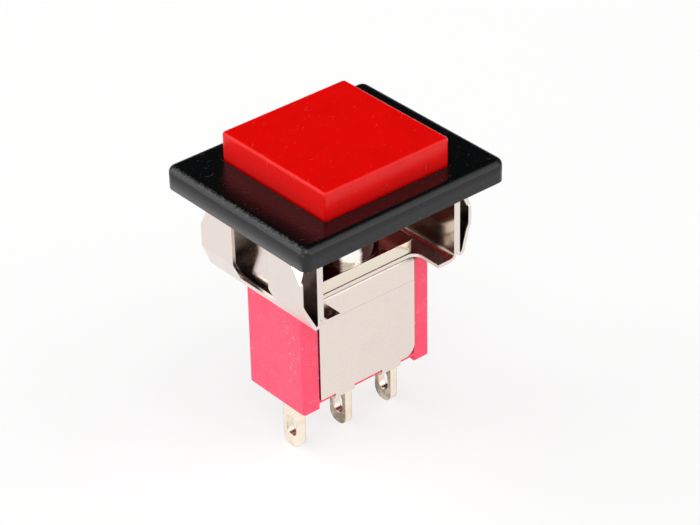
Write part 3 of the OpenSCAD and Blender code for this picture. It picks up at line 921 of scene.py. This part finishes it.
@dataclass
class ThreadedBushing:
    """Bushing with a cut thread, a rectangular flange and a staked rim.

    All lengths are in millimetres.  The thread's profile pairs a place along the pitch with
    the groove's depth there, both as shares.
    """

    thread_d: float = 6.35
    thread_depth: float = 0.26
    pitch: float = 0.635
    chamfer: float = 0.3
    top: float = -0.6
    flange_top: float = -5.4
    thread_start: float = -3.3
    flange_h: float = 1.1
    flange_l: float = 10.0
    flange_w: float = 6.7
    flange_r: float = 0.65
    flange_edge: float = 0.05
    flange_edge_steps: int = 4
    spigot_d: float = 4.4
    rim_d: float = 5.0
    rim_h: float = 0.32
    rim_bottom: float = -7.55
    rim_chamfer: float = 0.08
    guide_d: float = 3.0
    counterbore_d: float = 4.6
    spring_seat: float = -4.7
    around: int = 96
    rows_a_turn: int = 14
    profile: tuple[tuple[float, float], ...] = (
        (0.0, 0.0), (0.12, 0.0), (0.20, 0.10), (0.50, 0.90), (0.58, 1.0), (0.66, 0.90),
        (0.94, 0.10), (1.0, 0.0))

    def ring(self, radius: float, z: float) -> list[Triple]:
        """Circle about the Z axis.

        Args:
            radius: Radius in millimetres.
            z: Height in millimetres.

        Returns:
            Points of the circle.
        """
        step = 2 * math.pi / self.around
        return [(radius * math.cos(k * step), radius * math.sin(k * step), z)
                for k in range(self.around)]

    def groove(self, turn: float) -> float:
        """Depth of the groove at a place along the pitch.

        Args:
            turn: Place in turns; only its fraction counts.

        Returns:
            Share of the thread's depth, 0 on the crest and 1 at the root.
        """
        place = turn % 1.0
        for (start, low), (end, high) in zip(self.profile, self.profile[1:]):
            if place <= end:
                return low + (high - low) * (place - start) / (end - start)
        return 0.0

    def thread(self) -> list[list[Triple]]:
        """Rows of the thread, from the plain shank up to the chamfered end.

        Returns:
            Rows of points, in millimetres.
        """
        crest = self.thread_d / 2
        length = self.top - self.thread_start
        count = round(length / self.pitch * self.rows_a_turn)
        rows = []
        for step in range(1, count + 1):
            rise = length * step / count
            fade = min(rise / self.pitch, 1.0) * self.thread_depth
            row = []
            for k in range(self.around):
                angle = 2 * math.pi * k / self.around
                radius = crest - fade * self.groove(rise / self.pitch - k / self.around)
                radius = min(radius, crest - self.chamfer + length - rise)
                row.append((radius * math.cos(angle), radius * math.sin(angle),
                            self.thread_start + rise))
            rows.append(row)
        return rows

    def flange_row(self, inset: float, z: float) -> list[Triple]:
        """Rounded rectangle of the flange, with as many points as a ring has.

        Args:
            inset: How far the outline lies inside the flange's side.
            z: Height in millimetres.

        Returns:
            Points of the outline.
        """
        points = self.around // 4
        radius = self.flange_r - inset
        row = []
        for corner, (sx, sy) in enumerate(((1, 1), (-1, 1), (-1, -1), (1, -1))):
            cx = sx * (self.flange_l / 2 - self.flange_r)
            cy = sy * (self.flange_w / 2 - self.flange_r)
            for k in range(points):
                angle = math.pi / 2 * (corner + k / (points - 1))
                row.append((cx + radius * math.cos(angle), cy + radius * math.sin(angle), z))
        return row

    def build(self) -> bpy.types.Object:
        """Build the bushing.

        Returns:
            The bushing's object.
        """
        mould = Mould("bushing_threaded")
        bottom = self.flange_top - self.flange_h
        core = [self.ring(self.counterbore_d / 2, self.top)]
        core += [self.ring(self.counterbore_d / 2, self.spring_seat)]
        core += [self.ring(self.guide_d / 2, self.spring_seat)]
        core += [self.ring(self.guide_d / 2, self.rim_bottom)]
        core += [self.ring(self.rim_d / 2 - self.rim_chamfer, self.rim_bottom)]
        core += [self.ring(self.rim_d / 2, self.rim_bottom + self.rim_chamfer)]
        core += [self.ring(self.rim_d / 2, self.rim_bottom + self.rim_h)]
        core += [self.ring(self.spigot_d / 2, self.rim_bottom + self.rim_h)]
        core += [self.ring(self.spigot_d / 2, bottom)]
        edge = self.flange_edge
        core += [self.flange_row(edge, bottom), self.flange_row(0.0, bottom + edge)]
        for k in range(self.flange_edge_steps + 1):
            angle = math.pi / 2 * k / self.flange_edge_steps
            core += [self.flange_row(edge * (1 - math.cos(angle)),
                                     self.flange_top - edge * (1 - math.sin(angle)))]
        core += [self.flange_row(3 * edge, self.flange_top)]
        core += [self.ring(self.thread_d / 2, self.flange_top)]
        mould.rows(core)
        barrel = [self.ring(self.thread_d / 2, self.flange_top)]
        barrel += [self.ring(self.thread_d / 2, self.thread_start)]
        barrel += self.thread() + [self.ring(self.counterbore_d / 2, self.top)]
        mould.rows(barrel, 1)
        return mould.cast()

    def dress(self, wardrobe: Wardrobe) -> None:
        """Build the bushing, dress it and let it stand for its CAD node.

        Args:
            wardrobe: Source of the materials.
        """
        piece = self.build()
        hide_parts("bushing")
        wardrobe.dress_piece(piece, (TURNED_NICKEL, BARREL_PAINTED_STREAK), "housing")


@dataclass
class CoilSpring:
    """Coil spring with closed ends, wound about an axis parallel to Z.

    Lengths are in millimetres, and a closed turn rises by the wire's size times closed_pitch.
    """

    node: str
    joint: str
    outer_d: float
    wire_d: float
    turns: int
    travel: float
    closed_pitch: float = 1.1
    steps: int = 28
    sides: int = 10

    def rise(self, turn: float, lift: float) -> float:
        """Height of the wire after some turns.

        Args:
            turn: Turns from the lower end.
            lift: Whole rise of the wire.

        Returns:
            The height over the lower end.
        """
        closed = self.closed_pitch * self.wire_d
        if turn < 1:
            return closed * turn
        if turn > self.turns - 1:
            return lift - closed * (self.turns - turn)
        return closed + (lift - 2 * closed) * (turn - 1) / (self.turns - 2)

    def build(self) -> bpy.types.Object:
        """Wind the spring in the place of its CAD node.

        Returns:
            The spring's object.
        """
        low, high = (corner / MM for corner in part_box(self.node))
        middle = (low + high) / 2
        lift = high.z - low.z - self.wire_d
        radius = (self.outer_d - self.wire_d) / 2
        rows = []
        for i in range(self.turns * self.steps + 1):
            angle = 2 * math.pi * i / self.steps
            z = low.z + self.wire_d / 2 + self.rise(i / self.steps, lift)
            row = []
            for k in range(self.sides):
                side = 2 * math.pi * k / self.sides
                reach = radius + self.wire_d / 2 * math.cos(side)
                row.append((middle.x + reach * math.cos(angle), middle.y + reach * math.sin(angle),
                            z + self.wire_d / 2 * math.sin(side)))
            rows.append(row)
        mould = Mould(f"{self.node}_wire")
        grid = mould.rows(rows)
        mould.mesh.faces.new(grid[0])
        mould.mesh.faces.new(list(reversed(grid[-1])))
        return mould.cast()

    def dress(self, wardrobe: Wardrobe) -> None:
        """Build the spring, dress it and let it stand for its CAD node.

        Args:
            wardrobe: Source of the materials.
        """
        piece = self.build()
        low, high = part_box(self.node)
        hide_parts(self.node)
        wardrobe.dress_piece(piece, (SPRING_STEEL,), "housing")
        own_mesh(piece)


@dataclass
class SubAssembly(ABC):
    """Group of CAD nodes, each with the finish that it wears."""

    finishes: dict[str, Finish]

    def dress(self, wardrobe: Wardrobe) -> None:
        """Dress the nodes.

        Args:
            wardrobe: Source of the materials.
        """
        for name, finish in self.finishes.items():
            wardrobe.dress_node(name, finish)


@dataclass
class FrontAssembly(SubAssembly):
    """Bezel, cap and spring clip: what shows in front of and behind the panel."""

    finishes: dict[str, Finish] = field(default_factory=lambda: {
        "bezel": BLACK_GLOSS, "cap": RED_GLOSS, "snap_clip": BRIGHT_NICKEL})


@dataclass
class SwitchBody(SubAssembly):
    """Case, strap, seal and terminals under the clip."""

    finishes: dict[str, Finish] = field(default_factory=lambda: {
        "case": PINK_CASE, "frame_strap": SATIN_NICKEL, "terminal_seal": DARK_SEAL,
        "terminal_closed": TINNED_COPPER, "terminal_common": TIN_SHADED_FACES,
        "terminal_open": TIN_SHADED_FACES})


@dataclass
class SwitchWorks(SubAssembly):
    """Moving parts and contacts inside the case, with the three springs."""

    finishes: dict[str, Finish] = field(default_factory=lambda: {
        "plunger": TURNED_BRASS, "rocker": TURNED_BRASS, "driver": NATURAL_DRIVER,
        "contact_closed": FINE_SILVER, "contact_open": FINE_SILVER,
        "rocker_contact_closed": FINE_SILVER, "rocker_contact_open": FINE_SILVER})
    springs: tuple[CoilSpring, ...] = (
        CoilSpring("return_spring", "push", 4.1, 0.4, 6, 2.0),
        CoilSpring("overtravel_spring", "push", 1.4, 0.2, 6, 2.0),
        CoilSpring("bias_spring", "driver_slide", 1.4, 0.2, 4, 0.4024))

    def dress(self, wardrobe: Wardrobe) -> None:
        """Dress the nodes and wind the springs.

        Args:
            wardrobe: Source of the materials.
        """
        super().dress(wardrobe)
        for spring in self.springs:
            spring.dress(wardrobe)


# ---------------------------------------------------------------- studio


@dataclass(frozen=True)
class SoftLamp:
    """Soft rectangular lamp that points at the part.

    The turn is its direction in degrees from +X and the height its elevation.  The size, the
    distance and the point that it circles are in metres, and a face of glow 1 is white.
    """

    name: str
    turn: float
    height: float
    size: tuple[float, float]
    glow: float
    away: float = 0.80
    aim: Triple = (0.0, 0.0, -0.01)

    def hang(self) -> None:
        """Hang the lamp at its place, facing the part."""
        data = bpy.data.lights.new(self.name, "AREA")
        data.shape = "RECTANGLE"
        data.size, data.size_y = self.size
        data.energy = self.glow * math.pi * self.size[0] * self.size[1]
        lamp = bpy.data.objects.new(self.name, data)
        t, h = math.radians(self.turn), math.radians(self.height)
        way = Vector((math.cos(t) * math.cos(h), math.sin(t) * math.cos(h), math.sin(h)))
        lamp.location = way * self.away + Vector(self.aim)
        lamp.rotation_euler = way.to_track_quat("Z", "Y").to_euler()
        bpy.context.scene.collection.objects.link(lamp)


@dataclass
class Studio:
    """Pale floor, soft lights, surroundings and the camera.

    The camera's distance, shifts, lens and film and the floor's gap are in millimetres; its
    depth of view and the floor's size are in metres.  The sky begins over sky_start, the sine
    of its height, and turns pale over front_start, the cosine of its turn from the camera.
    """

    azimuth: float = -39.83
    elevation: float = 32.84
    roll: float = 1.12
    distance: float = 203.7
    aside: float = -1.0565
    above: float = 5.9416
    lens: float = 140.15
    film_width: float = 36.0
    depth_of_view: Band = (0.01, 20.0)
    floor_size: float = 6.0
    floor_squares: int = 8
    floor_gap: float = 0.02
    floor_colour: Colour = (0.96, 0.96, 0.96)
    floor_glow: float = 0.70
    horizon: Colour = (1.0, 0.99, 0.98)
    front_sky: Colour = (0.85, 0.84, 0.82)
    back_sky: Colour = (0.008, 0.008, 0.009)
    sky_start: Band = (0.08, 0.22)
    front_start: Band = (-0.45, 0.35)
    lamps: tuple[SoftLamp, ...] = (
        SoftLamp("left_window", 134.0, 33.0, (0.86, 0.66), 1.9),
        SoftLamp("low_left_lamp", 193.0, 14.0, (0.36, 0.24), 1.9),
        SoftLamp("right_lamp", -50.0, 38.0, (0.76, 0.70), 1.0),
        SoftLamp("top_lamp", -130.0, 66.0, (0.48, 0.48), 2.1))

    def axes(self) -> tuple[Vector, Vector, Vector]:
        """Right, up and backward directions of the camera.

        Returns:
            Three unit vectors.
        """
        a = math.radians(self.azimuth)
        e = math.radians(self.elevation)
        r = math.radians(self.roll)
        right = Vector((math.cos(a), math.sin(a), 0.0))
        back = Vector((math.sin(a) * math.cos(e), -math.cos(a) * math.cos(e), math.sin(e)))
        up = back.cross(right)
        return (math.cos(r) * right - math.sin(r) * up,
                math.sin(r) * right + math.cos(r) * up, back)

    def camera(self) -> None:
        """Place the camera."""
        right, up, back = self.axes()
        place = (self.distance * back - self.aside * right - self.above * up) * MM
        data = bpy.data.cameras.new("camera")
        data.sensor_fit = "HORIZONTAL"
        data.sensor_width = self.film_width
        data.lens = self.lens
        data.clip_start, data.clip_end = self.depth_of_view
        camera = bpy.data.objects.new("camera", data)
        turn = Matrix((right, up, back)).transposed().to_4x4()
        camera.matrix_world = Matrix.Translation(place) @ turn
        bpy.context.scene.collection.objects.link(camera)
        bpy.context.scene.camera = camera

    def floor(self) -> None:
        """Lay the floor under the lowest point of the part."""
        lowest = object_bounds()[0][2]
        mesh = bmesh.new()
        bmesh.ops.create_grid(mesh, x_segments=self.floor_squares,
                              y_segments=self.floor_squares, size=self.floor_size / 2)
        data = bpy.data.meshes.new("floor")
        mesh.to_mesh(data)
        mesh.free()
        floor = bpy.data.objects.new("floor", data)
        floor.location = (0.0, 0.0, lowest - self.floor_gap * MM)
        bpy.context.scene.collection.objects.link(floor)
        material = bpy.data.materials.new("pale_floor")
        material.use_nodes = True
        book = ShaderBook(material.node_tree)
        rays = [book.node("ShaderNodeLightPath", {}, {}, name)
                for name in ("Is Camera Ray", "Is Glossy Ray", "Is Transmission Ray")]
        seen = rays[0].top(rays[1]).top(rays[2])
        matt = book.node("ShaderNodeBsdfDiffuse", {}, {"Color": self.floor_colour})
        glow = book.node("ShaderNodeEmission", {}, {"Color": (1.0, 1.0, 1.0), "Strength": 1.0})
        both = book.node("ShaderNodeMixShader", {}, {0: seen * self.floor_glow, 1: matt, 2: glow})
        output = material.node_tree.nodes.new("ShaderNodeOutputMaterial")
        book.feed(output.inputs["Surface"], both)
        floor.data.materials.append(material)
        floor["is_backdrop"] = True

    def surroundings(self) -> None:
        """White all round at the horizon, with a pale sky in front and a dark one behind."""
        world = bpy.data.worlds.new("studio")
        world.use_nodes = True
        bpy.context.scene.world = world
        book = ShaderBook(world.node_tree)
        way = book.node("ShaderNodeTexCoord", {}, {}, "Generated")
        height = book.dot(way, UP)
        back = self.axes()[2]
        level = Vector((back.x, back.y, 0.0)).normalized()
        front = book.dot(way, tuple(level)).between(*self.front_start)
        sky = book.tint(front, self.back_sky, self.front_sky)
        colour = book.tint(height.between(*self.sky_start), self.horizon, sky)
        light = book.node("ShaderNodeBackground", {}, {"Color": colour, "Strength": 1.0})
        output = world.node_tree.nodes.new("ShaderNodeOutputWorld")
        book.feed(output.inputs["Surface"], light)

    def build(self) -> None:
        """Build the whole studio."""
        bpy.context.scene.view_settings.view_transform = "Standard"
        self.camera()
        self.floor()
        for lamp in self.lamps:
            lamp.hang()
        self.surroundings()


def main() -> None:
    """Dress the switch and build the studio."""
    logging.basicConfig(level=logging.INFO, format="%(name)s: %(message)s")
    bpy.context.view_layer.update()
    wardrobe = Wardrobe()
    FrontAssembly().dress(wardrobe)
    SwitchBody().dress(wardrobe)
    SwitchWorks().dress(wardrobe)
    ThreadedBushing().dress(wardrobe)
    Studio().build()


if __name__ == "__main__":
    main()
